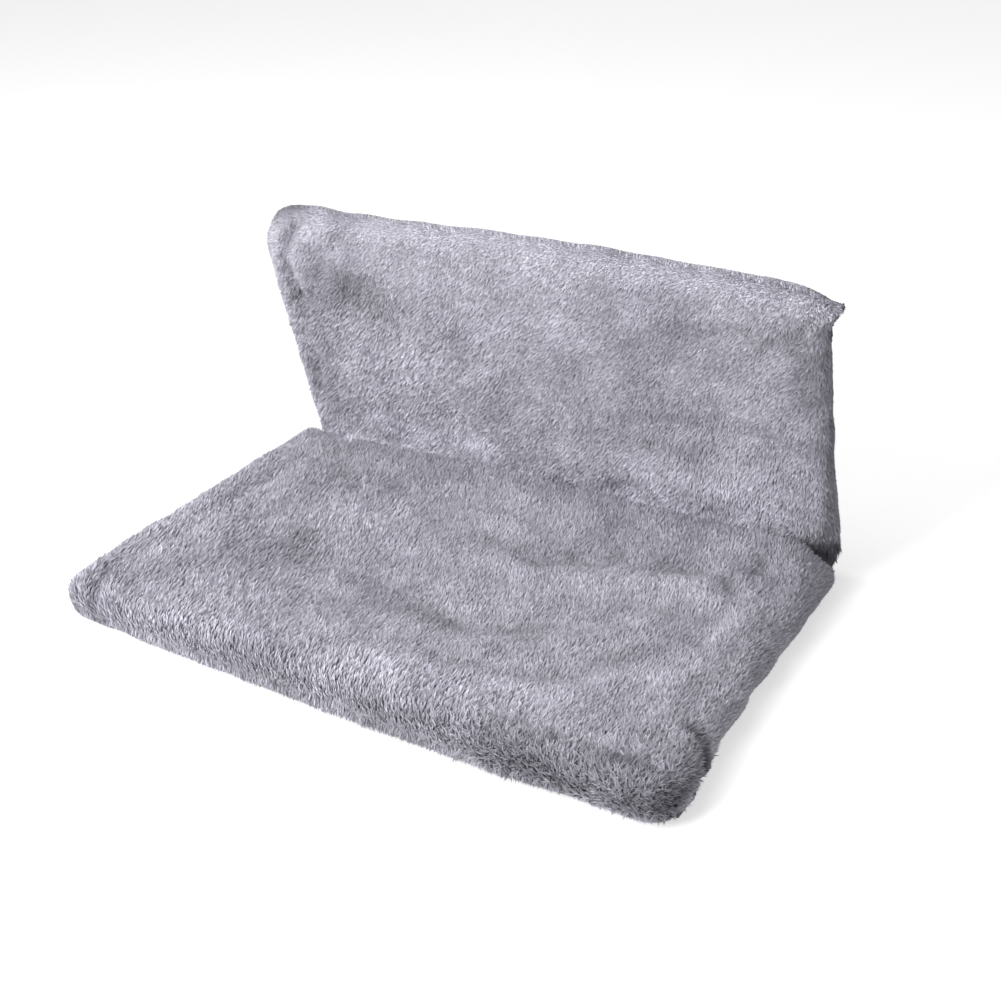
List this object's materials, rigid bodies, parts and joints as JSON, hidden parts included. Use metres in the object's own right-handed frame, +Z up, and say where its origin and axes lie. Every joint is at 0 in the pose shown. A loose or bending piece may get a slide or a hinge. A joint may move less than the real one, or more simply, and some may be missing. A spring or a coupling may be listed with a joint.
{
  "type": "radiator cat bed",
  "caption": "Plush cat bed on an L-shaped bent tube frame, with a flat seat, a leaning back and rear hooks that hang over a radiator.",
  "frame": {"origin": "centre of the bounding box's bottom face, on the ground that the seat lies on", "axes": "+X across the bed, to the right of someone who faces the front edge of its seat; +Y from that front edge towards the back and the hooks; +Z up"},
  "size_m": [0.4552, 0.3408, 0.2313],
  "materials": {
    "plush": "short pile plush",
    "lining": "plain weave",
    "elastic_webbing": "woven elastic",
    "painted_steel": "white powder coat",
    "zinc": "zinc plated",
    "black_plastic": "matte",
    "soft_vinyl": "matte dipped vinyl"
  },
  "bodies": {
    "root": {"seat_frame": "painted_steel", "back_frame": "painted_steel", "cross_bar": "painted_steel", "hook_bar": "painted_steel", "hook_left": "painted_steel", "hook_right": "painted_steel", "hook_sleeve_left": "soft_vinyl", "hook_sleeve_right": "soft_vinyl", "rail_cap_left": "black_plastic", "rail_cap_right": "black_plastic", "foot_cap_left": "black_plastic", "foot_cap_right": "black_plastic", "joint_screw_front_left": "zinc", "joint_screw_front_right": "zinc", "joint_screw_rear_left": "zinc", "joint_screw_rear_right": "zinc", "hook_bar_screw_left": "zinc", "hook_bar_screw_right": "zinc", "hook_screw_upper_left": "zinc", "hook_screw_upper_right": "zinc", "hook_screw_lower_left": "zinc", "hook_screw_lower_right": "zinc", "hook_nut_upper_left": "zinc", "hook_nut_upper_right": "zinc", "hook_nut_lower_left": "zinc", "hook_nut_lower_right": "zinc", "seat_cover": "plush", "back_cover": "plush", "front_pocket": "plush", "top_pocket": "plush", "seat_return_left": "lining", "seat_return_right": "lining", "back_return_left": "lining", "back_return_right": "lining", "seat_strap_front": "elastic_webbing", "seat_strap_rear": "elastic_webbing", "back_strap": "elastic_webbing", "crease_strap_left": "elastic_webbing", "crease_strap_middle": "elastic_webbing", "crease_strap_right": "elastic_webbing"}
  },
  "joints": []
}
